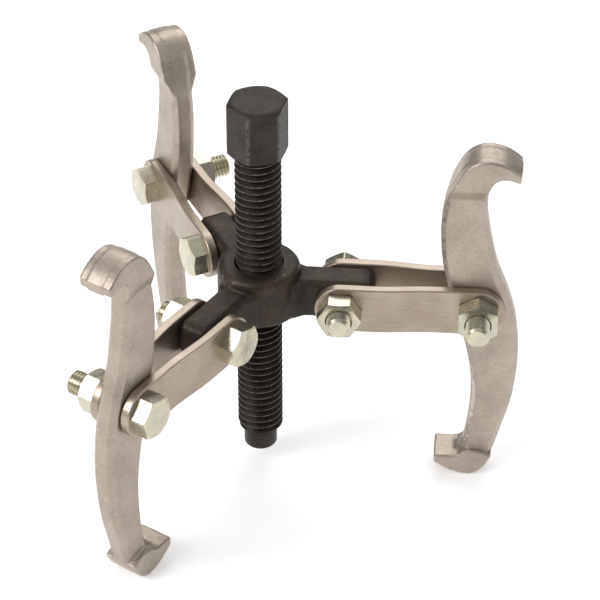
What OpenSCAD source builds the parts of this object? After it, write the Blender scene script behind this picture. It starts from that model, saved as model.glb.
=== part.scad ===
// Three-jaw gear puller, screw driven. Millimetres, +Z up along the screw.
// Z = 0 is the lower end of the pressing point's plain shank. Arm A lies along +X.

/* [Frame] */
// height of the link pivots above the screw tip
pivot_h = 39.8; // [36:0.1:42]
// radius of the inner pivots from the screw axis
inner_r = 17.1; // [16:0.1:19]
// distance from inner pivot to outer pivot
link_len = 28.4; // [26:0.1:32]

/* [Screw] */
// thread outside diameter
screw_d = 9.525; // [8:0.025:12]
// thread pitch
pitch = 1.5875; // [1:0.0125:2]
// depth of the thread groove
thread_h = 0.92; // [0.5:0.01:1.2]
// head width across its flats
head_af = 11.1; // [10:0.1:14]
// head height
head_h = 11.9; // [8:0.1:14]
// underside of the head above the link pivots
head_z = 34.8; // [30:0.1:40]
// direction of one corner of the head
head_turn = 17.85; // [0:0.05:60]

/* [Point] */
// diameter of the plain nose
nose_d = 7.0; // [5:0.1:8]
// length of the plain nose
nose_h = 4.1; // [3:0.1:8]
// depth of the shallow cone under the nose
nose_cone_h = 0.8; // [0.3:0.1:2]
// diameter of the stem inside the screw
stem_d = 4.2; // [3:0.1:5]
// length of the stem
stem_h = 7.2; // [4:0.1:10]

/* [Yoke] */
// boss diameter
boss_d = 17.2; // [15:0.1:20]
// boss top above the link pivots
boss_top = 7.5; // [5:0.1:10]
// boss underside below the link pivots
boss_low = 3.8; // [3:0.1:6]
// arm thickness between the link plates
arm_t = 6.8; // [5:0.1:8]
// arm height
arm_h = 9.2; // [7:0.1:11]
// arm centre above the link pivots
arm_mid = 0.5; // [0:0.1:1]
// reach of the arm beyond the inner pivot
arm_end = 6.2; // [5:0.1:8]

/* [Links] */
// link plate width
link_w = 10.6; // [9:0.1:13]
// link plate thickness
link_t = 2.0; // [1.5:0.1:3]
// gap between the plates at the yoke
gap_in = 7.2; // [6:0.1:9]
// gap between the plates at the jaw
gap_out = 5.4; // [4:0.1:7]

/* [Bolts] */
// bolt diameter
bolt_d = 5.0; // [4:0.1:6]
// hexagon width across its flats
hex_af = 8.0; // [7:0.1:10]
// bolt head thickness
bolt_head_h = 3.5; // [2.5:0.1:4.5]
// nut thickness
nut_h = 4.0; // [3:0.1:5]
// bolt length under the head
bolt_len = 17.7; // [14:0.1:20]

/* [Jaws] */
// jaw shank thickness
jaw_t = 5.0; // [4:0.1:6]
// width of the hooks at both ends
hook_w = 7.6; // [6:0.1:9]

/* [Hidden] */
$fn = 64;
outer_r = inner_r + link_len;
run = 0.05;
screw_r = screw_d/2;
screw_low = nose_h + 0.05;
screw_under = pivot_h + head_z;
screw_top = screw_under + head_h;
groove_n = floor((screw_under - screw_low - 3)/pitch);
stem_r = stem_d/2;
stem_top = nose_h + stem_h;
ring_z = nose_h + 4.2;
ring_h = 0.9;
ring_in = 1.6;
ring_out = 2.6;
boss_r = boss_d/2;
link_r = link_w/2;
hex_r = hex_af/2/cos(30);
half_in = gap_in/2;
half_out = gap_out/2;
hole_r = bolt_d/2 + run;
black = [0.16, 0.14, 0.13];
grey = [0.72, 0.68, 0.63];
plate = [0.74, 0.70, 0.66];
zinc = [0.82, 0.82, 0.74];

// screw outline: crests with flat tops, one groove every pitch
screw_outline = concat(
  [[0, screw_low]],
  [[screw_r - 1.1, screw_low]],
  [[screw_r - 0.05, screw_low + 1.1]],
  [for (i = [0:groove_n - 1]) for (p = groove_at(screw_low + 1.5 + i*pitch)) p],
  [[screw_r, screw_under - 0.6]],
  [[screw_r, screw_under + 0.5]],
  [[0, screw_under + 0.5]]
);
function groove_at(z) = [
  [screw_r, z],
  [screw_r - thread_h, z + 0.60],
  [screw_r - thread_h, z + 0.76],
  [screw_r, z + 1.36]
];

// whole jaw outline, from the outer pivot: out along x, up along y
jaw_outline = [
  [-8.2, -40.7],
  [-5.0, -42.6],
  [-1.6, -43.6],
  [0.6, -43.3],
  [2.5, -41.6],
  [3.9, -39.0],
  [5.0, -35.4],
  [6.2, -30.6],
  [7.5, -25.2],
  [8.3, -19.0],
  [8.6, -12.2],
  [8.1, -5.9],
  [7.2, -1.0],
  [5.8, 3.7],
  [4.3, 7.6],
  [3.1, 11.3],
  [2.1, 16.0],
  [1.4, 19.8],
  [0.95, 23.4],
  [0.95, 27.2],
  [1.4, 29.8],
  [2.4, 31.6],
  [4.0, 32.3],
  [7.4, 31.5],
  [7.6, 33.9],
  [5.2, 35.7],
  [2.8, 36.7],
  [0.2, 37.0],
  [-2.2, 36.2],
  [-4.2, 34.4],
  [-5.7, 31.7],
  [-7.2, 28.0],
  [-8.0, 24.4],
  [-8.4, 20.0],
  [-8.3, 15.4],
  [-7.8, 10.4],
  [-6.7, 5.0],
  [-5.3, 0.0],
  [-3.9, -5.0],
  [-2.8, -9.2],
  [-1.9, -13.2],
  [-1.2, -17.6],
  [-0.95, -22.2],
  [-1.1, -27.6],
  [-1.6, -32.5],
  [-2.2, -36.0],
  [-3.1, -37.9],
  [-4.4, -38.7],
  [-8.2, -38.7]
];
// wide top hook, cut from the same outline above its step
top_hook = [
  [0.95, 28.2],
  [1.4, 29.8],
  [2.4, 31.6],
  [4.0, 32.3],
  [7.4, 31.5],
  [7.6, 33.9],
  [5.2, 35.7],
  [2.8, 36.7],
  [0.2, 37.0],
  [-2.2, 36.2],
  [-4.2, 34.4],
  [-5.7, 31.7],
  [-6.7, 29.3]
];
// wide foot, cut from the same outline below its step
foot_hook = [
  [-8.2, -40.7],
  [-5.0, -42.6],
  [-1.6, -43.6],
  [0.6, -43.3],
  [2.5, -41.6],
  [3.9, -39.0],
  [4.2, -37.9],
  [1.0, -36.4],
  [-1.3, -36.9],
  [-3.1, -38.2],
  [-4.4, -38.7],
  [-8.2, -38.7]
];

// turns a piece drawn for arm A to its own arm
module arm_at(turn) {
  rotate([0, 0, turn]) children();
}

// lays a flat outline in the plane of an arm, centred on it
module upright(thick) {
  rotate([90, 0, 0]) translate([0, 0, -thick/2]) linear_extrude(thick) children();
}

// a cylinder along the bolt axis, from y0 to y1
module cross_rod(r, y0, y1) {
  translate([0, y1, 0]) rotate([90, 0, 0]) cylinder(r = r, h = y1 - y0);
}

module yoke_arm() {
  end_r = arm_h/2;
  mid_x = inner_r + arm_end - end_r;
  translate([0, 0, pivot_h + arm_mid]) upright(arm_t) union() {
    translate([2, -end_r]) square([mid_x - 2, arm_h]);
    translate([mid_x, 0]) circle(r = end_r);
  }
  // widened root where the arm meets the boss
  translate([0, 0, pivot_h + arm_mid - end_r + 0.25]) linear_extrude(arm_h - 0.6)
    polygon([[3, -4.2], [7.9, -4.4], [9.2, -3.8], [10.6, -3.0], [10.6, 3.0], [9.2, 3.8], [7.9, 4.4], [3, 4.2]]);
}

module yoke() {
  color(black) difference() {
    union() {
      rotate_extrude() polygon([[0, pivot_h - boss_low], [boss_r - 0.6, pivot_h - boss_low],
        [boss_r, pivot_h - boss_low + 0.6], [boss_r, pivot_h + boss_top - 2.0],
        [boss_r - 0.3, pivot_h + boss_top - 1.0], [boss_r - 1.0, pivot_h + boss_top - 0.3],
        [boss_r - 2.0, pivot_h + boss_top], [0, pivot_h + boss_top]]);
      for (turn = [0, 120, 240]) arm_at(turn) yoke_arm();
    }
    translate([0, 0, pivot_h - 20]) cylinder(r = screw_r + run, h = 40);
    // lead-in at the top of the bore
    translate([0, 0, pivot_h + boss_top - 0.3]) cylinder(r1 = screw_r + run, r2 = screw_r + 0.45, h = 0.4);
    for (turn = [0, 120, 240]) arm_at(turn)
      translate([inner_r, 0, pivot_h]) cross_rod(hole_r, -arm_t, arm_t);
  }
}

module forcing_screw() {
  color(black) difference() {
    union() {
      rotate_extrude() polygon(screw_outline);
      intersection() {
        rotate([0, 0, head_turn]) translate([0, 0, screw_under]) cylinder(r = head_af/2/cos(30), h = head_h, $fn = 6);
        rotate_extrude() polygon([[0, screw_under], [head_af/2 + 0.3, screw_under], [head_af/2 + 1.0, screw_under + 0.4],
          [head_af/2 + 1.0, screw_top - 0.75], [head_af/2 - 0.3, screw_top - 0.06], [head_af/2 - 1.0, screw_top],
          [0, screw_top]]);
      }
    }
    // blind hole for the point's stem, with a groove for its ring
    translate([0, 0, screw_low - 1]) cylinder(r = stem_r + run, h = stem_h + 1.4);
    translate([0, 0, ring_z - 0.05]) cylinder(r = ring_out + 0.1, h = ring_h + 0.1);
  }
}

module screw_point() {
  nose_r = nose_d/2;
  color(black) rotate_extrude() polygon([[0, -nose_cone_h - 0.2], [0.5, -nose_cone_h - 0.1], [0.9, -nose_cone_h + 0.1],
    [nose_r - 0.25, -0.2], [nose_r, 0], [nose_r, nose_h], [stem_r, nose_h],
    [stem_r, ring_z], [ring_in, ring_z], [ring_in, ring_z + ring_h], [stem_r, ring_z + ring_h],
    [stem_r, stem_top - 0.4], [stem_r - 0.4, stem_top], [0, stem_top]]);
}

module point_ring() {
  color(zinc) translate([0, 0, ring_z]) difference() {
    cylinder(r = ring_out, h = ring_h);
    translate([0, 0, -1]) cylinder(r = ring_in, h = ring_h + 2);
  }
}

// one stamped link plate; side is +1 at the bolt heads and -1 at the nuts
module link_plate(side) {
  color(plate) translate([0, 0, pivot_h]) difference() {
    intersection() {
      rotate([90, 0, 0]) translate([0, 0, -10]) linear_extrude(20) union() {
        translate([inner_r, 0]) circle(r = link_r);
        translate([outer_r, 0]) circle(r = link_r);
        translate([inner_r, -link_r]) square([link_len, link_w]);
      }
      scale([1, side, 1]) translate([0, 0, -10]) linear_extrude(20) polygon([
        [inner_r - 8, half_in], [inner_r + 8.4, half_in], [outer_r - 8.9, half_out], [outer_r + 8, half_out],
        [outer_r + 8, half_out + link_t], [outer_r - 8.9, half_out + link_t],
        [inner_r + 8.4, half_in + link_t], [inner_r - 8, half_in + link_t]]);
    }
    for (x = [inner_r, outer_r]) translate([x, 0, 0]) cross_rod(hole_r, -12, 12);
  }
}

// hexagon bolt along the tangent, head face at y = face
module bolt(x, face, turn) {
  color(zinc) translate([x, 0, pivot_h]) {
    cross_rod(bolt_d/2, face - bolt_len + 0.6, face + 0.5);
    translate([0, face - bolt_len + 0.6, 0]) rotate([90, 0, 0]) cylinder(r1 = bolt_d/2, r2 = bolt_d/2 - 0.6, h = 0.6);
    translate([0, face, 0]) rotate([-90, 0, 0]) intersection() {
      rotate([0, 0, turn]) cylinder(r = hex_r, h = bolt_head_h, $fn = 6);
      rotate_extrude() polygon([[0, 0], [hex_r + 0.1, 0], [hex_r + 0.1, bolt_head_h - 0.6],
        [hex_r - 0.8, bolt_head_h], [0, bolt_head_h]]);
    }
  }
}

// hexagon nut along the tangent, resting on the plate at y = -face
module nut(x, face, turn) {
  color(zinc) translate([x, 0, pivot_h]) translate([0, -face, 0]) rotate([90, 0, 0]) difference() {
    intersection() {
      rotate([0, 0, turn]) cylinder(r = hex_r, h = nut_h, $fn = 6);
      rotate_extrude() polygon([[0, 0], [hex_r + 0.1, 0], [hex_r + 0.1, nut_h - 0.6], [hex_r - 0.8, nut_h], [0, nut_h]]);
    }
    translate([0, 0, -1]) cylinder(r = hole_r, h = nut_h + 2);
    translate([0, 0, nut_h - 0.4]) cylinder(r1 = hole_r, r2 = hole_r + 0.5, h = 0.5);
  }
}

module jaw() {
  color(grey) translate([outer_r, 0, pivot_h]) difference() {
    union() {
      upright(jaw_t) polygon(jaw_outline);
      upright(hook_w) polygon(top_hook);
      upright(hook_w) polygon(foot_hook);
    }
    cross_rod(hole_r, -5, 5);
  }
}

yoke();
forcing_screw();
screw_point();
point_ring();
arm_at(0) link_plate(1);  // link_a_head
arm_at(0) link_plate(-1);  // link_a_nut
arm_at(120) link_plate(1);  // link_b_head
arm_at(120) link_plate(-1);  // link_b_nut
arm_at(240) link_plate(1);  // link_c_head
arm_at(240) link_plate(-1);  // link_c_nut
arm_at(0) bolt(inner_r, half_in + link_t, 30);  // inner_bolt_a
arm_at(120) bolt(inner_r, half_in + link_t, 30);  // inner_bolt_b
arm_at(240) bolt(inner_r, half_in + link_t, 45);  // inner_bolt_c
arm_at(0) bolt(outer_r, half_out + link_t, 30);  // outer_bolt_a
arm_at(120) bolt(outer_r, half_out + link_t, 38);  // outer_bolt_b
arm_at(240) bolt(outer_r, half_out + link_t, 45);  // outer_bolt_c
arm_at(0) nut(inner_r, half_in + link_t, 0);  // inner_nut_a
arm_at(120) nut(inner_r, half_in + link_t, 12);  // inner_nut_b
arm_at(240) nut(inner_r, half_in + link_t, 20);  // inner_nut_c
arm_at(0) nut(outer_r, half_out + link_t, 30);  // outer_nut_a
arm_at(120) nut(outer_r, half_out + link_t, 5);  // outer_nut_b
arm_at(240) nut(outer_r, half_out + link_t, 15);  // outer_nut_c
arm_at(0) jaw();  // jaw_a
arm_at(120) jaw();  // jaw_b
arm_at(240) jaw();  // jaw_c
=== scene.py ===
import math

import bmesh
import bpy
from mathutils import Matrix, Vector


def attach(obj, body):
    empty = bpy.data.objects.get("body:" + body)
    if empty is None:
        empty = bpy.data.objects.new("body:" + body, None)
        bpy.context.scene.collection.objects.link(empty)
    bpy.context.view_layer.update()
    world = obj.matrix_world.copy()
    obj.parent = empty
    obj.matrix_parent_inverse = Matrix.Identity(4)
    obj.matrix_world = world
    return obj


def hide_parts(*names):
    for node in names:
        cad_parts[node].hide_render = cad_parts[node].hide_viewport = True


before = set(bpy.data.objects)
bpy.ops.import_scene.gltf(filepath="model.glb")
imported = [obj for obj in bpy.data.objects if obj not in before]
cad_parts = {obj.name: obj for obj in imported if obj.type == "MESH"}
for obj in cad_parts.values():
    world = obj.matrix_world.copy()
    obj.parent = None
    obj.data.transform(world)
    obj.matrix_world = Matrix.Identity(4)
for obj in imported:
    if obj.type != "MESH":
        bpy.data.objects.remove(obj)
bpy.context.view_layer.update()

mm = 0.001
pivotHeight = 39.8  # height of every link pivot above the screw tip
innerRadius = 17.1
linkLength = 28.4
outerRadius = innerRadius + linkLength
armTurns = {"a": 0, "b": 120, "c": 240}


def linkToScene(ob):
    bpy.context.scene.collection.objects.link(ob)
    return ob


def bmeshToObject(name, bm):
    bmesh.ops.remove_doubles(bm, verts=bm.verts, dist=0.0005)
    bmesh.ops.recalc_face_normals(bm, faces=bm.faces)
    mesh = bpy.data.meshes.new(name)
    bm.to_mesh(mesh)
    bm.free()
    return linkToScene(bpy.data.objects.new(name, mesh))


def bakeModifiers(ob):  # keeps the finished shape and drops the modifiers
    graph = bpy.context.evaluated_depsgraph_get()
    mesh = bpy.data.meshes.new_from_object(ob.evaluated_get(graph))
    ob.modifiers.clear()
    ob.data = mesh
    return ob


def combine(ob, tool, operation):  # boolean of two scratch objects, the tool is used up
    modifier = ob.modifiers.new("combine", "BOOLEAN")
    modifier.operation = operation
    modifier.solver = "EXACT"
    modifier.object = tool
    bakeModifiers(ob)
    bpy.data.objects.remove(tool)
    return ob


def mergeShells(name, parts):  # several closed scratch objects in one mesh
    bm = bmesh.new()
    for part in parts:
        bm.from_mesh(part.data)
        bpy.data.objects.remove(part)
    mesh = bpy.data.meshes.new(name)
    bm.to_mesh(mesh)
    bm.free()
    return linkToScene(bpy.data.objects.new(name, mesh))


def forgeTogether(ob, voxel, rounds):  # voxel skin over the shells, then smoothed like a forging
    skin = ob.modifiers.new("skin", "REMESH")
    skin.mode = "VOXEL"
    skin.voxel_size = voxel
    bakeModifiers(ob)
    bm = bmesh.new()
    bm.from_mesh(ob.data)
    for _ in range(rounds):
        bmesh.ops.smooth_vert(bm, verts=bm.verts, factor=0.5,
                              use_axis_x=True, use_axis_y=True, use_axis_z=True)
    bm.to_mesh(ob.data)
    bm.free()
    return ob


def sharpen(ob, degrees):  # smooth faces with hard edges where they really turn
    bm = bmesh.new()
    bm.from_mesh(ob.data)
    bmesh.ops.dissolve_degenerate(bm, dist=0.004, edges=bm.edges[:])
    bmesh.ops.recalc_face_normals(bm, faces=bm.faces)
    limit = math.radians(degrees)
    for face in bm.faces:
        face.smooth = True
    for edge in bm.edges:
        edge.smooth = len(edge.link_faces) != 2 or edge.calc_face_angle(0) < limit
    bm.to_mesh(ob.data)
    bm.free()


def armMatrix(arm, x, y, z):  # from a piece's own millimetres to its place on an arm
    return Matrix.Rotation(math.radians(armTurns[arm]), 4, "Z") @ Matrix.Translation((x, y, z))


def placePiece(ob, name, place, body, material, nodes):
    piece = linkToScene(bpy.data.objects.new(name, ob.data.copy()))
    piece.data.name = name
    piece.data.transform(Matrix.Scale(mm, 4) @ place)
    piece.data.materials.clear()
    piece.data.materials.append(material)
    crisp = piece.modifiers.new("crisp", "WEIGHTED_NORMAL")
    crisp.keep_sharp = True
    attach(piece, body)
    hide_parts(*nodes)
    return piece


def lathe(name, profile, steps=96):  # spins a closed outline of (radius, height) about Z
    bm = bmesh.new()
    verts = [bm.verts.new((r, 0, z)) for r, z in profile]
    edges = [bm.edges.new(pair) for pair in zip(verts, verts[1:])]
    bmesh.ops.spin(bm, geom=verts + edges, cent=(0, 0, 0), axis=(0, 0, 1), angle=math.tau,
                   steps=steps, use_merge=True)
    return bmeshToObject(name, bm)


def rod(name, radius, low, high, steps=64):
    bm = bmesh.new()
    bmesh.ops.create_cone(bm, cap_ends=True, segments=steps, radius1=radius, radius2=radius, depth=high - low)
    bmesh.ops.translate(bm, verts=bm.verts, vec=(0, 0, (low + high) / 2))
    return bmeshToObject(name, bm)


def flatPlate(name, outline, thick, soften, sharpPoints=(), inset=0.0, facets=3):
    # an outline of (out, up) drawn as a curve, given its thickness and softened edges
    curve = bpy.data.curves.new(name, "CURVE")
    curve.dimensions = "2D"
    curve.fill_mode = "BOTH"
    curve.resolution_u = 5
    curve.extrude = thick / 2 - soften
    curve.bevel_depth = soften
    curve.bevel_resolution = facets
    curve.offset = -soften - inset
    spline = curve.splines.new("BEZIER")
    spline.bezier_points.add(len(outline) - 1)
    spline.use_cyclic_u = True
    for index, (point, (x, y)) in enumerate(zip(spline.bezier_points, outline)):
        point.co = (x, y, 0)
        kind = "VECTOR" if index in sharpPoints else "AUTO"
        point.handle_left_type = kind
        point.handle_right_type = kind
    ob = linkToScene(bpy.data.objects.new(name, curve))
    graph = bpy.context.evaluated_depsgraph_get()
    mesh = bpy.data.meshes.new_from_object(ob.evaluated_get(graph))
    bpy.data.objects.remove(ob)
    plate = linkToScene(bpy.data.objects.new(name, mesh))
    bm = bmesh.new()
    bm.from_mesh(mesh)
    bmesh.ops.remove_doubles(bm, verts=bm.verts, dist=0.001)
    bmesh.ops.rotate(bm, verts=bm.verts, cent=(0, 0, 0), matrix=Matrix.Rotation(math.pi / 2, 3, "X"))
    bmesh.ops.recalc_face_normals(bm, faces=bm.faces)
    bm.to_mesh(mesh)
    bm.free()
    return plate


def addNode(tree, kind, **values):
    node = tree.nodes.new(kind)
    for key, value in values.items():
        if key in node.inputs:
            node.inputs[key].default_value = value
        else:
            setattr(node, key, value)
    return node


def noiseAt(tree, coords, scale, detail, roughness):
    noise = addNode(tree, "ShaderNodeTexNoise", Scale=scale, Detail=detail, Roughness=roughness)
    tree.links.new(coords, noise.inputs["Vector"])
    return noise.outputs["Fac"]


def ramp(tree, source, stops):
    node = tree.nodes.new("ShaderNodeValToRGB")
    elements = node.color_ramp.elements
    while len(elements) < len(stops):
        elements.new(0.5)
    for element, (position, colour) in zip(elements, stops):
        element.position = position
        element.color = (*colour, 1.0)
    tree.links.new(source, node.inputs["Fac"])
    return node.outputs["Color"]


def mapRange(tree, source, low, high, toLow, toHigh):
    node = addNode(tree, "ShaderNodeMapRange")
    for index, value in zip((1, 2, 3, 4), (low, high, toLow, toHigh)):
        node.inputs[index].default_value = value
    tree.links.new(source, node.inputs[0])
    return node.outputs[0]


def mixColours(tree, factor, under, over):  # lays a plain colour over another node's colour
    node = addNode(tree, "ShaderNodeMix", data_type="RGBA")
    tree.links.new(factor, node.inputs[0])
    tree.links.new(under, node.inputs[6])
    node.inputs[7].default_value = (*over, 1.0)
    return node.outputs[2]


def bumpChain(tree, layers):  # each layer is (height, strength, distance)
    normal = None
    for height, strength, distance in layers:
        node = addNode(tree, "ShaderNodeBump", Strength=strength, Distance=distance)
        tree.links.new(height, node.inputs["Height"])
        if normal is not None:
            tree.links.new(normal, node.inputs["Normal"])
        normal = node.outputs["Normal"]
    return normal


def startMaterial(name, metallic):
    material = bpy.data.materials.new(name)
    material.use_nodes = True
    tree = material.node_tree
    shader = tree.nodes["Principled BSDF"]
    shader.inputs["Metallic"].default_value = metallic
    coords = tree.nodes.new("ShaderNodeTexCoord").outputs["Object"]
    return material, tree, shader, coords


def edgeWearAndHollowShade(tree, low, high):  # pointiness mask: 0 on flats, 1 on raised edges for edge wear; with low above high it is 1 in hollows instead, for painted shade
    return mapRange(tree, tree.nodes.new("ShaderNodeNewGeometry").outputs["Pointiness"], low, high, 0.0, 1.0)


def forgedJawSteel():
    look = {"dark": (0.335, 0.28, 0.23), "pale": (0.44, 0.375, 0.315), "edge": (0.60, 0.53, 0.46)}
    material, tree, shader, coords = startMaterial("forgedJawSteel", 0.82)
    cloud = noiseAt(tree, coords, 160, 5, 0.6)
    grain = noiseAt(tree, coords, 2600, 4, 0.6)
    pits = noiseAt(tree, coords, 900, 6, 0.62)
    colour = ramp(tree, cloud, [(0.32, look["dark"]), (0.68, look["pale"])])
    colour = mixColours(tree, mapRange(tree, grain, 0.4, 0.66, 0.0, 0.3), colour, look["edge"])
    colour = mixColours(tree, edgeWearAndHollowShade(tree, 0.54, 0.66), colour, look["edge"])
    tree.links.new(colour, shader.inputs["Base Color"])
    tree.links.new(mapRange(tree, pits, 0.3, 0.7, 0.33, 0.50), shader.inputs["Roughness"])
    normal = bumpChain(tree, [(pits, 0.22, 0.00015), (grain, 0.4, 0.00007)])
    tree.links.new(normal, shader.inputs["Normal"])
    return material


def linkPlateSteel():
    look = {"dark": (0.31, 0.252, 0.20), "pale": (0.425, 0.355, 0.29), "streak": (0.52, 0.435, 0.36)}
    material, tree, shader, coords = startMaterial("linkPlateSteel", 0.88)
    cloud = noiseAt(tree, coords, 120, 4, 0.55)
    stretch = addNode(tree, "ShaderNodeMapping", Scale=(1.0, 1.0, 14.0))
    tree.links.new(coords, stretch.inputs["Vector"])
    rolled = noiseAt(tree, stretch.outputs["Vector"], 220, 4, 0.6)
    grain = noiseAt(tree, coords, 2200, 3, 0.6)
    colour = ramp(tree, cloud, [(0.3, look["dark"]), (0.7, look["pale"])])
    colour = mixColours(tree, mapRange(tree, rolled, 0.45, 0.65, 0.0, 0.35), colour, look["streak"])
    tree.links.new(colour, shader.inputs["Base Color"])
    tree.links.new(mapRange(tree, rolled, 0.3, 0.7, 0.27, 0.42), shader.inputs["Roughness"])
    normal = bumpChain(tree, [(cloud, 0.12, 0.0004), (grain, 0.22, 0.00004)])
    tree.links.new(normal, shader.inputs["Normal"])
    return material


def brightZinc():
    # the groove colour is painted shade, a near-black laid into hollows and thread roots
    look = {"cool": (0.50, 0.48, 0.41), "warm": (0.60, 0.56, 0.42), "smudge": (0.34, 0.32, 0.25),
            "groove": (0.09, 0.085, 0.065)}
    material, tree, shader, coords = startMaterial("brightZinc", 0.95)
    cloud = noiseAt(tree, coords, 260, 4, 0.55)
    smear = noiseAt(tree, coords, 620, 5, 0.6)
    grain = noiseAt(tree, coords, 3000, 2, 0.5)
    colour = ramp(tree, cloud, [(0.34, look["cool"]), (0.62, look["warm"])])
    colour = mixColours(tree, mapRange(tree, smear, 0.55, 0.75, 0.0, 0.35), colour, look["smudge"])
    # painted shade: near-black colour laid into the hollows and thread roots, where shade falls
    colour = mixColours(tree, edgeWearAndHollowShade(tree, 0.49, 0.40), colour, look["groove"])
    tree.links.new(colour, shader.inputs["Base Color"])
    tree.links.new(mapRange(tree, smear, 0.3, 0.7, 0.20, 0.33), shader.inputs["Roughness"])
    normal = bumpChain(tree, [(smear, 0.06, 0.0001), (grain, 0.08, 0.00003)])
    tree.links.new(normal, shader.inputs["Normal"])
    return material


def rubbedCrests(tree, coords, low, high):  # 1 on thread crests and hexagon corners, 0 nearer the axis
    flat = addNode(tree, "ShaderNodeVectorMath", operation="MULTIPLY")
    flat.inputs[1].default_value = (1, 1, 0)
    tree.links.new(coords, flat.inputs[0])
    reach = addNode(tree, "ShaderNodeVectorMath", operation="LENGTH")
    tree.links.new(flat.outputs["Vector"], reach.inputs[0])
    return mapRange(tree, reach.outputs["Value"], low, high, 0.0, 1.0)


def blackOxide(name, settings):
    material, tree, shader, coords = startMaterial(name, settings["metallic"])
    cloud = noiseAt(tree, coords, 210, 5, 0.6)
    grain = noiseAt(tree, coords, settings["grain"], 4, 0.65)
    colour = ramp(tree, cloud, [(0.32, settings["deep"]), (0.70, settings["brown"])])
    dust = mapRange(tree, grain, 0.56, 0.74, 0.0, settings["dust"])
    colour = mixColours(tree, dust, colour, settings["worn"])
    if settings["crests"]:
        wear = rubbedCrests(tree, coords, *settings["crests"])
        patchy = mapRange(tree, grain, 0.38, 0.6, 0.0, 1.0)
        spread = addNode(tree, "ShaderNodeMath", operation="MULTIPLY")
        tree.links.new(wear, spread.inputs[0])
        tree.links.new(patchy, spread.inputs[1])
        colour = mixColours(tree, spread.outputs[0], colour, settings["worn"])
    else:
        colour = mixColours(tree, edgeWearAndHollowShade(tree, 0.53, 0.60), colour, settings["worn"])
    tree.links.new(colour, shader.inputs["Base Color"])
    tree.links.new(mapRange(tree, grain, 0.3, 0.7, *settings["gloss"]), shader.inputs["Roughness"])
    normal = bumpChain(tree, [(cloud, settings["lumps"], 0.0003), (grain, settings["bite"], 0.00008)])
    tree.links.new(normal, shader.inputs["Normal"])
    return material


jawSteel = forgedJawSteel()
plateSteel = linkPlateSteel()
zincPlate = brightZinc()
screwBlack = blackOxide("screwBlack", {
    "metallic": 0.6, "deep": (0.014, 0.0115, 0.009), "brown": (0.038, 0.029, 0.021),
    "worn": (0.15, 0.12, 0.095), "crests": (0.00466, 0.00478), "dust": 0.25, "grain": 1400,
    "gloss": (0.32, 0.50), "lumps": 0.1, "bite": 0.2})
headBlack = blackOxide("headBlack", {
    "metallic": 0.6, "deep": (0.018, 0.015, 0.012), "brown": (0.045, 0.036, 0.028),
    "worn": (0.17, 0.14, 0.11), "crests": (0.00612, 0.00632), "dust": 0.2, "grain": 1100,
    "gloss": (0.42, 0.60), "lumps": 0.15, "bite": 0.25})
yokeBlack = blackOxide("yokeBlack", {
    "metallic": 0.5, "deep": (0.016, 0.0115, 0.008), "brown": (0.052, 0.036, 0.023),
    "worn": (0.13, 0.095, 0.062), "crests": None, "dust": 0.5, "grain": 900,
    "gloss": (0.40, 0.62), "lumps": 0.35, "bite": 0.5})
print("finishes made")


def threadRod(name, settings):
    # one tooth outline swept up a helix, trimmed flat, then turned down to its envelope
    pitch, crest, root = settings["pitch"], settings["crest"], settings["root"]
    low, high = settings["low"], settings["high"]
    turns = math.ceil((high - low) / pitch) + 3
    steps = settings["steps"]
    start = low - 1.5 * pitch + settings["phase"] * pitch
    bm = bmesh.new()
    tooth = [(crest, 0.0), (crest, 0.13), (root + 0.06, 0.50), (root, 0.56), (root, 0.62),
             (root + 0.06, 0.68), (crest, 1.0)]  # radius, share of the pitch
    verts = [bm.verts.new((r, 0, start + t * pitch)) for r, t in tooth]
    edges = [bm.edges.new(pair) for pair in zip(verts, verts[1:])]
    bmesh.ops.spin(bm, geom=verts + edges, cent=(0, 0, 0), axis=(0, 0, 1), angle=math.tau * turns,
                   dvec=(0, 0, pitch / steps), steps=steps * turns, use_merge=False)
    bmesh.ops.remove_doubles(bm, verts=bm.verts, dist=0.002)
    for level, outward in ((low, (0, 0, -1)), (high, (0, 0, 1))):
        bmesh.ops.bisect_plane(bm, geom=bm.verts[:] + bm.edges[:] + bm.faces[:], dist=0.0001,
                               plane_co=(0, 0, level), plane_no=outward, clear_outer=True)
    rims = [edge for edge in bm.edges if edge.is_boundary]
    bmesh.ops.holes_fill(bm, edges=rims, sides=0)
    threaded = bmeshToObject(name, bm)
    return combine(threaded, lathe(name + "Envelope", settings["envelope"]), "INTERSECT")


forcingScrew = {
    "radius": 9.525 / 2, "pitch": 1.5875, "root": 9.525 / 2 - 0.94, "low": 4.15, "endChamfer": 1.15,
    "under": pivotHeight + 34.8, "neckDepth": 0.25, "headFlats": 11.1, "headHeight": 11.9,
    "headTurn": -12.15, "stemHole": 2.15, "stemHoleDepth": 7.6, "ringGroove": 2.7, "grooveLow": 8.25,
    "grooveHigh": 9.25}


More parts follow.
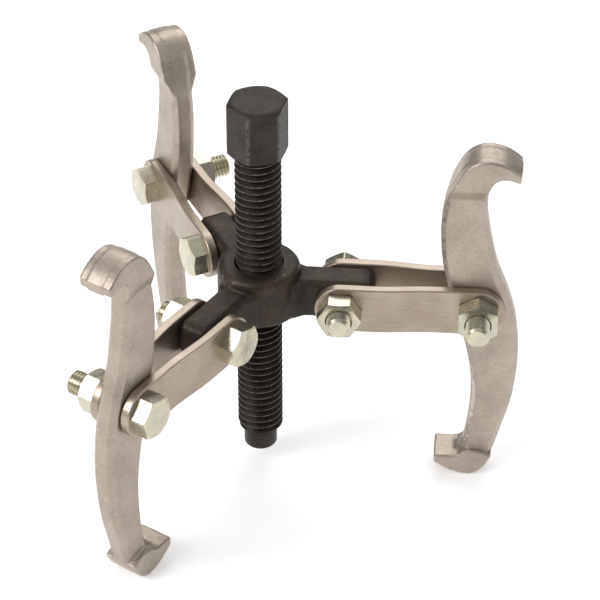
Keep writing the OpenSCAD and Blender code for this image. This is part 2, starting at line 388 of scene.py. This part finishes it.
def buildScrew():
    s = forcingScrew
    top = s["under"] + s["headHeight"]
    high = s["under"] + 0.6  # the thread runs a little way into the head
    neck = s["radius"] - s["neckDepth"]
    envelope = [(0, s["low"]), (s["radius"] - s["endChamfer"], s["low"]),
                (s["radius"], s["low"] + s["endChamfer"]), (s["radius"], s["under"] - 0.7),
                (neck, s["under"] - 0.35), (neck, high), (0, high)]
    thread = threadRod("threadBlank", {
        "pitch": s["pitch"], "crest": s["radius"], "root": s["root"], "low": s["low"], "high": high,
        "steps": 56, "phase": 0.3, "envelope": envelope})
    bm = bmesh.new()
    corner = s["headFlats"] / 2 / math.cos(math.pi / 6)
    bmesh.ops.create_cone(bm, cap_ends=True, segments=6, radius1=corner, radius2=corner,
                          depth=s["headHeight"],
                          matrix=Matrix.Translation((0, 0, (s["under"] + top) / 2)))
    uprights = [e for e in bm.edges if abs(e.verts[0].co.z - e.verts[1].co.z) > 1]
    bmesh.ops.bevel(bm, geom=uprights, offset=0.35, segments=3, profile=0.5, affect="EDGES", material=-1)
    bmesh.ops.rotate(bm, verts=bm.verts, cent=(0, 0, 0),
                     matrix=Matrix.Rotation(math.radians(s["headTurn"]), 3, "Z"))
    half = s["headFlats"] / 2
    dome = lathe("headDome", [(0, s["under"]), (half + 0.2, s["under"]), (half + 1.0, s["under"] + 0.45),
                              (half + 1.0, top - 0.75), (half - 0.2, top - 0.12), (half - 0.6, top - 0.02),
                              (half - 1.2, top), (0, top)], 120)
    head = combine(bmeshToObject("headBlank", bm), dome, "INTERSECT")
    bm = bmesh.new()
    bm.from_mesh(head.data)
    rims = [e for e in bm.edges if len(e.link_faces) == 2 and 0.3 < e.calc_face_angle(0) < 1.4]
    bmesh.ops.bevel(bm, geom=rims, offset=0.16, segments=2, profile=0.5, affect="EDGES", material=-1,
                    clamp_overlap=True)  # softens the turned corners only
    bm.to_mesh(head.data)
    bm.free()
    combine(thread, rod("stemHole", s["stemHole"], s["low"] - 1, s["low"] + s["stemHoleDepth"]), "DIFFERENCE")
    combine(thread, rod("ringGroove", s["ringGroove"], s["grooveLow"], s["grooveHigh"]), "DIFFERENCE")
    for part, name, finish in ((thread, "screwThread", screwBlack), (head, "screwHead", headBlack)):
        sharpen(part, 32)
        placePiece(part, name, Matrix(), "screw", finish, ["forcing_screw"])
        bpy.data.objects.remove(part)


pressingPoint = {
    "radius": 3.5, "length": 4.1, "stem": 2.1, "stemTop": 11.3, "ringSeat": 1.6, "ringLow": 8.3,
    "ringHigh": 9.2}


def buildPoint():
    p = pressingPoint
    r, length, stem, top = p["radius"], p["length"], p["stem"], p["stemTop"]
    point = lathe("pressingPoint", [
        (0, -0.98), (0.42, -0.95), (0.62, -0.86), (0.72, -0.74), (r - 0.55, -0.26), (r - 0.22, -0.12),
        (r - 0.05, 0.1), (r, 0.35), (r, length - 0.25), (r - 0.12, length - 0.05), (r - 0.3, length),
        (stem, length), (stem, p["ringLow"]), (p["ringSeat"], p["ringLow"]),
        (p["ringSeat"], p["ringHigh"]), (stem, p["ringHigh"]), (stem, top - 0.4), (stem - 0.4, top),
        (0, top)])
    sharpen(point, 40)
    placePiece(point, "pressingNose", Matrix(), "point", screwBlack, ["screw_point"])
    bpy.data.objects.remove(point)


yokeShape = {
    "bossRadius": 8.6, "bossTop": 7.5, "bossLow": -3.8, "armThick": 6.8, "armLow": -4.1, "armHigh": 5.1,
    "armEnd": 23.8, "endRadius": 2.2, "armChamfer": 1.0, "bore": 4.83, "boltHole": 2.56, "voxel": 0.25,
    "rounds": 3}


def buildYoke():
    y = yokeShape
    wall, base, top = y["bossRadius"], y["bossLow"], y["bossTop"]
    boss = lathe("boss", [(0, base), (wall - 0.7, base), (wall, base + 0.7), (wall, top - 1.5),
                          (wall - 0.2, top - 0.8), (wall - 0.75, top - 0.22), (wall - 1.6, top),
                          (0, top)], 72)
    parts = [boss]
    middle = (y["armLow"] + y["armHigh"]) / 2
    half = (y["armHigh"] - y["armLow"]) / 2
    tip, low, high, endRadius = y["armEnd"], y["armLow"], y["armHigh"], y["endRadius"]
    turnIn = endRadius * 0.293  # how far a rounded corner stays inside a square one
    armSide = [(2, low), (12, low), (tip - endRadius, low), (tip - turnIn, low + turnIn),
               (tip, low + endRadius), (tip, high - endRadius), (tip - turnIn, high - turnIn),
               (tip - endRadius, high), (12, high), (2, high)]
    root = [(1, -3.2), (5.5, -5.2), (7.6, -4.7), (9.4, -3.7), (11.2, -3.1),
            (11.2, 3.1), (9.4, 3.7), (7.6, 4.7), (5.5, 5.2), (1, 3.2)]
    for arm in armTurns:
        turn = Matrix.Rotation(math.radians(armTurns[arm]), 4, "Z")
        side = flatPlate("armSide", armSide, y["armThick"], y["armChamfer"], (0, 1, 2, 7, 8, 9), 0, 0)
        side.data.transform(turn)
        parts.append(side)
        web = flatPlate("armRoot", root, 2 * half - 0.9, 0.8, (0, 5, 4, 9))
        web.data.transform(turn @ Matrix.Translation((0, 0, middle)) @ Matrix.Rotation(-math.pi / 2, 4, "X"))
        parts.append(web)
    yoke = forgeTogether(mergeShells("yoke", parts), y["voxel"], y["rounds"])
    combine(yoke, rod("bore", y["bore"], -20, 20, 96), "DIFFERENCE")
    leadIn = lathe("leadIn", [(0, top - 0.35), (y["bore"], top - 0.35), (y["bore"] + 0.6, top + 0.25),
                              (0, top + 0.25)])
    combine(yoke, leadIn, "DIFFERENCE")
    for arm in armTurns:
        hole = rod("boltHole", y["boltHole"], -8, 8, 48)
        hole.data.transform(armMatrix(arm, innerRadius, 0, 0) @ Matrix.Rotation(math.pi / 2, 4, "X"))
        combine(yoke, hole, "DIFFERENCE")
    sharpen(yoke, 40)
    placePiece(yoke, "yokeForging", Matrix.Translation((0, 0, pivotHeight)), "yoke",
               yokeBlack, ["yoke"])
    bpy.data.objects.remove(yoke)


linkPlate = {
    "width": 10.6, "thick": 2.0, "hole": 2.56, "gapAtYoke": 7.2, "gapAtJaw": 5.4, "bendFrom": 6.5,
    "bendTo": 19.5, "bendSteps": 12, "edge": 0.32}


def plateOffset(x):  # how far the plate has stepped in towards the jaw at x along the link
    p = linkPlate
    t = min(max((x - p["bendFrom"]) / (p["bendTo"] - p["bendFrom"]), 0), 1)
    return (p["gapAtYoke"] - p["gapAtJaw"]) / 2 * t * t * (3 - 2 * t)


def buildLinks():
    p = linkPlate
    bm = bmesh.new()
    radius = p["width"] / 2
    ends = []
    for centre, first in ((0, (0, 0, radius)), (linkLength, (linkLength, 0, -radius))):
        corner = bm.verts.new(first)
        spun = bmesh.ops.spin(bm, geom=[corner], cent=(centre, 0, 0), axis=(0, -1, 0), angle=math.pi,
                              steps=28, use_merge=False)
        ends.append((corner, spun["geom_last"][0]))
    bm.edges.new((ends[0][1], ends[1][0]))
    bm.edges.new((ends[1][1], ends[0][0]))
    for centre in (0, linkLength):
        upright = Matrix.Translation((centre, 0, 0)) @ Matrix.Rotation(math.pi / 2, 4, "X")
        bmesh.ops.create_circle(bm, segments=48, radius=p["hole"], matrix=upright)
    bmesh.ops.triangle_fill(bm, edges=bm.edges[:], use_beauty=True)
    raised = bmesh.ops.extrude_face_region(bm, geom=bm.faces[:])
    moved = [v for v in raised["geom"] if isinstance(v, bmesh.types.BMVert)]
    bmesh.ops.translate(bm, verts=moved, vec=(0, p["thick"], 0))
    bmesh.ops.recalc_face_normals(bm, faces=bm.faces)
    rims = [e for e in bm.edges if len(e.link_faces) == 2 and e.calc_face_angle(0) > 1.2]
    bmesh.ops.bevel(bm, geom=rims, offset=p["edge"], segments=3, profile=0.5, affect="EDGES", material=-1)
    for step in range(p["bendSteps"] + 1):
        x = p["bendFrom"] + (p["bendTo"] - p["bendFrom"]) * step / p["bendSteps"]
        bmesh.ops.bisect_plane(bm, geom=bm.verts[:] + bm.edges[:] + bm.faces[:], dist=0.0001,
                               plane_co=(x, 0, 0), plane_no=(1, 0, 0))
    for v in bm.verts:
        v.co.y += p["gapAtYoke"] / 2 - plateOffset(v.co.x)
    plate = bmeshToObject("linkPlate", bm)
    sharpen(plate, 40)
    other = linkToScene(bpy.data.objects.new("linkPlateOther", plate.data.copy()))
    bm = bmesh.new()
    bm.from_mesh(other.data)
    bmesh.ops.scale(bm, verts=bm.verts, vec=(1, -1, 1))
    bmesh.ops.recalc_face_normals(bm, faces=bm.faces)
    bm.to_mesh(other.data)
    bm.free()
    for arm in armTurns:
        place = armMatrix(arm, innerRadius, 0, pivotHeight)
        placePiece(plate, f"linkHeadSide_{arm}", place, f"links_{arm}", plateSteel,
                   [f"link_{arm}_head"])
        placePiece(other, f"linkNutSide_{arm}", place, f"links_{arm}", plateSteel,
                   [f"link_{arm}_nut"])
    bpy.data.objects.remove(plate)
    bpy.data.objects.remove(other)


boltShape = {
    "radius": 2.5, "root": 1.98, "pitch": 0.8, "length": 17.7, "flats": 8.0, "headHeight": 3.5,
    "nutHeight": 4.0, "chamferSlope": 28}
headTurns = {"inner_a": 0, "inner_b": 0, "inner_c": 15, "outer_a": 0, "outer_b": 8, "outer_c": 15}
nutTurns = {"inner_a": 30, "inner_b": -18, "inner_c": -10, "outer_a": 0, "outer_b": -25, "outer_c": -15}


def hexBody(name, flats, height, topChamfer, lowChamfer):  # hexagon from z 0 up, chamfered by cones
    bm = bmesh.new()
    corner = flats / 2 / math.cos(math.pi / 6)
    bmesh.ops.create_cone(bm, cap_ends=True, segments=6, radius1=corner, radius2=corner, depth=height,
                          matrix=Matrix.Translation((0, 0, height / 2)))
    uprights = [e for e in bm.edges if abs(e.verts[0].co.z - e.verts[1].co.z) > 1]
    bmesh.ops.bevel(bm, geom=uprights, offset=0.16, segments=2, profile=0.5, affect="EDGES", material=-1)
    slope = math.tan(math.radians(boltShape["chamferSlope"]))
    lowRim = corner + 0.2 if lowChamfer == 0 else flats / 2 - lowChamfer
    topRim = flats / 2 - topChamfer
    reach = corner + 0.3  # just past the corners
    cone = lathe("chamferCone", [
        (0, 0), (lowRim, 0), (reach, (reach - lowRim) * slope),
        (reach, height - (reach - topRim) * slope), (topRim, height), (0, height)], 72)
    return combine(bmeshToObject(name, bm), cone, "INTERSECT")


def buildFasteners():
    b = boltShape
    radius = b["radius"]
    low, high = -b["length"], 0.4
    envelope = [(0, low), (radius - 0.6, low), (radius, low + 0.5), (radius, -1.0), (radius, high), (0, high)]
    thread = threadRod("boltThread", {
        "pitch": b["pitch"], "crest": radius, "root": b["root"], "low": low, "high": high, "steps": 40,
        "phase": 0.15, "envelope": envelope})
    head = hexBody("boltHead", b["flats"], b["headHeight"], 0.35, 0)
    bolt = mergeShells("bolt", [thread, head])
    sharpen(bolt, 30)
    nut = hexBody("nut", b["flats"], b["nutHeight"], 0.25, 0.25)
    top = b["nutHeight"]
    bore = lathe("nutBore", [(0, -0.2), (radius + 0.45, -0.2), (radius + 0.04, 0.35),
                             (radius + 0.04, top - 0.35), (radius + 0.45, top + 0.2), (0, top + 0.2)], 64)
    combine(nut, bore, "DIFFERENCE")
    sharpen(nut, 28)
    turnOut = Matrix.Rotation(-math.pi / 2, 4, "X")  # the head's top faces +Y
    turnIn = Matrix.Rotation(math.pi / 2, 4, "X")
    places = {"inner": (innerRadius, linkPlate["gapAtYoke"] / 2 + linkPlate["thick"]),
              "outer": (outerRadius, linkPlate["gapAtJaw"] / 2 + linkPlate["thick"])}
    for where, (x, face) in places.items():
        for arm in armTurns:
            key = f"{where}_{arm}"
            boltPlace = (armMatrix(arm, x, face, pivotHeight) @ turnOut
                         @ Matrix.Rotation(math.radians(headTurns[key]), 4, "Z"))
            placePiece(bolt, f"bolt_{key}", boltPlace, f"links_{arm}", zincPlate,
                       [f"{where}_bolt_{arm}"])
            nutPlace = (armMatrix(arm, x, -face, pivotHeight) @ turnIn
                        @ Matrix.Rotation(math.radians(nutTurns[key]), 4, "Z"))
            placePiece(nut, f"nut_{key}", nutPlace, f"links_{arm}", zincPlate,
                       [f"{where}_nut_{arm}"])
    bpy.data.objects.remove(bolt)
    bpy.data.objects.remove(nut)


jawShape = {
    "shank": 5.0, "shankChamfer": 1.1, "hook": 7.7, "ridge": 4.6, "inset": 0.06, "shoulderLow": 26.2,
    "shoulderHigh": 29.6, "shoulderSteps": 5, "hole": 2.56, "voxel": 0.22, "rounds": 2}
footUnderside = [(-8.2, -40.7), (-5.0, -42.6), (-1.6, -43.6), (0.6, -43.3), (2.5, -41.6), (3.9, -39.0)]
hookTip = [
    (1.4, 29.8), (2.4, 31.6), (4.0, 32.3), (7.4, 31.5), (7.6, 33.9), (5.2, 35.7), (2.8, 36.7), (0.2, 37.0),
    (-2.2, 36.2), (-4.2, 34.4), (-5.7, 31.7), (-7.2, 28.0)]
jawOutline = footUnderside + [  # from the outer pivot: outwards, up
    (5.0, -35.4), (6.2, -30.6), (7.5, -25.2), (8.3, -19.0), (8.6, -12.2), (8.1, -5.9), (7.2, -1.0),
    (5.8, 3.7), (4.3, 7.6), (3.1, 11.3), (2.1, 16.0), (1.4, 19.8), (0.95, 23.4), (0.95, 27.2)] + hookTip + [
    (-8.0, 24.4), (-8.4, 20.0), (-8.3, 15.4), (-7.8, 10.4), (-6.7, 5.0), (-5.3, 0.0), (-3.9, -5.0),
    (-2.8, -9.2), (-1.9, -13.2), (-1.2, -17.6), (-0.95, -22.2), (-1.1, -27.6), (-1.6, -32.5),
    (-2.2, -36.0), (-3.1, -37.9), (-4.4, -38.7), (-8.2, -38.7)]
topHook = [(0.95, 25.8), (1.0, 28.2)] + hookTip + [(-7.7, 25.8)]
footHook = footUnderside + [
    (4.2, -38.3), (1.0, -37.2), (-1.3, -37.3), (-3.1, -38.4), (-4.4, -38.7), (-8.2, -38.7)]


def shoulder(ob):  # narrows a hook down to the shank over its sloping shoulder
    j = jawShape
    narrow = (j["shank"] - 0.5) / j["hook"]
    bm = bmesh.new()
    bm.from_mesh(ob.data)
    for step in range(j["shoulderSteps"] + 1):
        level = j["shoulderLow"] + (j["shoulderHigh"] - j["shoulderLow"]) * step / j["shoulderSteps"]
        bmesh.ops.bisect_plane(bm, geom=bm.verts[:] + bm.edges[:] + bm.faces[:], dist=0.0001,
                               plane_co=(0, 0, level), plane_no=(0, 0, 1))
    for v in bm.verts:
        t = (v.co.z - j["shoulderLow"]) / (j["shoulderHigh"] - j["shoulderLow"])
        v.co.y *= narrow + (1 - narrow) * min(max(t, 0), 1)
    bm.to_mesh(ob.data)
    bm.free()
    return ob


def buildJaws():
    j = jawShape
    inset = j["inset"]
    shank = flatPlate("shank", jawOutline, j["shank"], j["shankChamfer"], (0, 23, 24, 48), inset, 0)
    hookSides = shoulder(flatPlate("hookSides", topHook, j["hook"], 0.3, (0, 5, 6, 14), inset + 0.16, 0))
    hookCrown = shoulder(flatPlate("hookCrown", topHook, j["ridge"], 0.5, (0, 5, 6, 14), inset, 0))
    foot = flatPlate("foot", footHook, j["hook"], 0.3, (0, 6, 9, 10, 11), inset, 0)
    jaw = forgeTogether(mergeShells("jaw", [shank, hookSides, hookCrown, foot]), j["voxel"], j["rounds"])
    hole = rod("jawHole", j["hole"], -6, 6, 48)
    hole.data.transform(Matrix.Rotation(math.pi / 2, 4, "X"))
    combine(jaw, hole, "DIFFERENCE")
    sharpen(jaw, 45)
    for arm in armTurns:
        placePiece(jaw, f"jawForging_{arm}", armMatrix(arm, outerRadius, 0, pivotHeight), f"jaw_{arm}",
                   jawSteel, [f"jaw_{arm}"])
    bpy.data.objects.remove(jaw)


buildScrew()
buildPoint()
print("screw and point built")
buildYoke()
print("yoke built")
buildLinks()
buildFasteners()
print("links, bolts and nuts built")
buildJaws()
print("jaws built")
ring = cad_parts["point_ring"]  # the one piece that stays as the frame made it
ring.data.materials.clear()
ring.data.materials.append(zincPlate)

studio = {
    "floorLevel": pivotHeight - 43.6, "floorColour": (0.94, 0.94, 0.94), "floorGlow": 0.3,
    "floorRoughness": 0.9, "world": 0.62, "aim": (0, 0, 0.03),
    "skyBands": [(0.0, (0.95, 0.95, 0.95)), (0.05, (0.9, 0.9, 0.9)), (0.13, (0.12, 0.12, 0.12)),
                 (0.32, (0.16, 0.16, 0.16)), (0.55, (0.85, 0.85, 0.85)), (1.0, (1, 1, 1))],
    "key": {"power": 5.2, "size": 0.5, "place": (-0.62, -0.42, 0.6)},
    "top": {"power": 3.8, "size": 0.8, "place": (0.05, 0.68, 0.72)},
    "side": {"power": 0.8, "size": 0.4, "place": (0.8, -0.2, 0.35)}}


def buildStudio():
    bm = bmesh.new()
    bmesh.ops.create_grid(bm, x_segments=1, y_segments=1, size=3.0)
    bmesh.ops.translate(bm, verts=bm.verts, vec=(0, 0, studio["floorLevel"] * mm))
    mesh = bpy.data.meshes.new("floor")
    bm.to_mesh(mesh)
    bm.free()
    floor = linkToScene(bpy.data.objects.new("floor", mesh))
    paper = bpy.data.materials.new("floorPaper")
    paper.use_nodes = True
    matt = paper.node_tree.nodes["Principled BSDF"]
    matt.inputs["Base Color"].default_value = (*studio["floorColour"], 1)
    matt.inputs["Roughness"].default_value = studio["floorRoughness"]
    matt.inputs["Emission Color"].default_value = (1, 1, 1, 1)
    matt.inputs["Emission Strength"].default_value = studio["floorGlow"]
    mesh.materials.append(paper)
    world = bpy.data.worlds.new("studio")
    world.use_nodes = True
    tree = world.node_tree
    sky = addNode(tree, "ShaderNodeSeparateXYZ")
    tree.links.new(tree.nodes.new("ShaderNodeTexCoord").outputs["Generated"], sky.inputs[0])
    shade = ramp(tree, sky.outputs["Z"], studio["skyBands"])
    tree.links.new(shade, tree.nodes["Background"].inputs["Color"])
    tree.nodes["Background"].inputs["Strength"].default_value = studio["world"]
    bpy.context.scene.world = world
    for name in ("key", "top", "side"):
        lamp = bpy.data.lights.new(name, "AREA")
        lamp.energy = studio[name]["power"]
        lamp.size = studio[name]["size"]
        ob = linkToScene(bpy.data.objects.new(name, lamp))
        ob.location = studio[name]["place"]
        aim = Vector(studio["aim"]) - ob.location
        ob.rotation_euler = aim.to_track_quat("-Z", "Y").to_euler()
    bpy.context.scene.view_settings.view_transform = "Standard"


cameraSetup = {
    "azimuth": 4.6, "elevation": 36.8, "distance": 0.5715, "side": 0.00845, "lift": -0.0020, "lens": 165.6}


def buildCamera():
    c = cameraSetup
    a, e = math.radians(c["azimuth"]), math.radians(c["elevation"])
    back = Vector((math.sin(a) * math.cos(e), -math.cos(a) * math.cos(e), math.sin(e)))
    right = Vector((math.cos(a), math.sin(a), 0))
    up = back.cross(right)
    data = bpy.data.cameras.new("camera")
    data.lens = c["lens"]
    data.sensor_width = 36
    data.clip_start = 0.01
    camera = linkToScene(bpy.data.objects.new("camera", data))
    middle = Vector((0, 0, pivotHeight * mm))
    camera.location = middle + back * c["distance"] + right * c["side"] + up * c["lift"]
    camera.rotation_euler = (-back).to_track_quat("-Z", "Y").to_euler()
    bpy.context.scene.camera = camera


buildStudio()
buildCamera()
print("studio ready")
